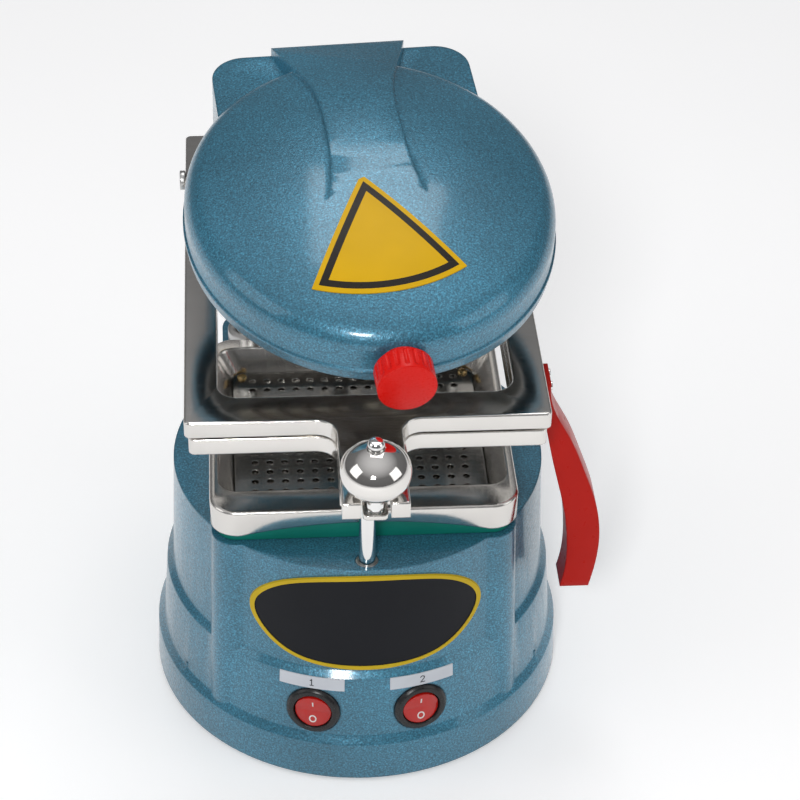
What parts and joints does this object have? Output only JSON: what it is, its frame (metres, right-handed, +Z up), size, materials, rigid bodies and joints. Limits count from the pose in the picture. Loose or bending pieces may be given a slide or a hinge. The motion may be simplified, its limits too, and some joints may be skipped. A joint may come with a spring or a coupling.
{
  "type": "dental vacuum former",
  "caption": "Bench-top dental vacuum former: round base with square vacuum table, hinged clamp frame on a lift slide, and a swinging heater head.",
  "frame": {"origin": "centre of the round base at the underside of its middle foot", "axes": "+Z up, front of the machine (switches, badge, clamp knob) towards -Y, lift handle on the +X side"},
  "size_m": [0.1853, 0.2653, 0.256],
  "materials": {
    "hammertone_blue": "hammertone gloss",
    "bright_aluminium": "polished",
    "dish_aluminium": "satin",
    "steel": "satin",
    "chrome": "polished",
    "red_plastic": "gloss",
    "knob_plastic": "gloss",
    "black_plastic": "satin",
    "rocker_plastic": "gloss",
    "green_rubber": "matt",
    "dark_rubber": "matt",
    "badge_dark": "satin",
    "badge_yellow": "satin",
    "white_label": "satin",
    "sticker_yellow": "satin",
    "sticker_dark": "satin",
    "brass": "satin",
    "coil_steel": "dark oxidised",
    "ceramic": "matt"
  },
  "bodies": {
    "base": {"body_shell": "hammertone_blue", "perforated_plate": "bright_aluminium", "vacuum_pan": "bright_aluminium", "vacuum_dish": "dish_aluminium", "suction_duct": "dish_aluminium", "impeller_housing": "dish_aluminium", "vacuum_motor": "dish_aluminium", "pin_bush": "steel", "bottom_plate": "steel", "bottom_screws": "steel", "motor_mount": "steel", "column_flange": "steel", "post_collars": "steel", "vent_screws": "steel", "guide_posts": "chrome", "head_column": "chrome", "switch_bezel_left": "black_plastic", "switch_bezel_right": "black_plastic", "power_inlet": "black_plastic", "rear_vent": "black_plastic", "dish_gasket": "green_rubber", "rubber_feet": "dark_rubber", "front_badge": "badge_dark", "badge_border": "badge_yellow", "label_strip_left": "white_label", "label_strip_right": "white_label", "plate_screws": "brass", "thrust_washer": "brass"},
    "impeller_rotor": {"impeller": "dish_aluminium", "motor_shaft": "steel"},
    "rocker_left": {"rocker_left": "rocker_plastic"},
    "rocker_right": {"rocker_right": "rocker_plastic"},
    "lift_frame": {"lower_clamp_frame": "bright_aluminium", "lower_seal": "dark_rubber", "guide_pin": "chrome", "post_bushes": "brass", "lift_handle": "red_plastic", "handle_screws": "chrome", "hinge_screws": "steel"},
    "upper_frame": {"upper_clamp_frame": "bright_aluminium", "upper_seal": "dark_rubber"},
    "clamp_knob": {"ball_knob": "chrome", "knob_stud": "chrome", "knob_end_cap": "chrome"},
    "head": {"head_cover": "hammertone_blue", "head_arm": "hammertone_blue", "reflector_pan": "steel", "pan_standoffs": "steel", "heating_coil": "coil_steel", "coil_insulators": "ceramic", "heater_terminals": "ceramic", "arm_screws": "steel", "head_knob": "knob_plastic", "head_knob_stem": "chrome", "sticker_border": "sticker_dark", "sticker_face": "sticker_yellow"}
  },
  "joints": [
    {"name": "impeller_spin", "type": "hinge", "parent": "base", "child": "impeller_rotor", "pos_m": [0, 0, 0.06], "axis": [0, 0, 1], "continuous": true},
    {"name": "rocker_left_tilt", "type": "hinge", "parent": "base", "child": "rocker_left", "pos_m": [-0.02184, -0.07928, 0.0352], "axis": [0.9641, -0.2656, 0], "range_deg": [-8, 0]},
    {"name": "rocker_right_tilt", "type": "hinge", "parent": "base", "child": "rocker_right", "pos_m": [0.02184, -0.07928, 0.0352], "axis": [0.9641, 0.2656, 0], "range_deg": [-8, 0]},
    {"name": "frame_lift", "type": "slide", "parent": "base", "child": "lift_frame", "axis": [0, 0, 1], "range_m": [-0.04, 0]},
    {"name": "frame_open", "type": "hinge", "parent": "lift_frame", "child": "upper_frame", "pos_m": [0, 0.104, 0.1769], "axis": [-1, 0, 0], "range_deg": [0, 6]},
    {"name": "knob_turn", "type": "hinge", "parent": "upper_frame", "child": "clamp_knob", "pos_m": [0, -0.1165, 0.19], "axis": [0, 0, 1], "continuous": true},
    {"name": "head_swing", "type": "hinge", "parent": "base", "child": "head", "pos_m": [-0.0034, 0.082, 0.2126], "axis": [0, 0, 1], "range_deg": [-95, 95]}
  ]
}
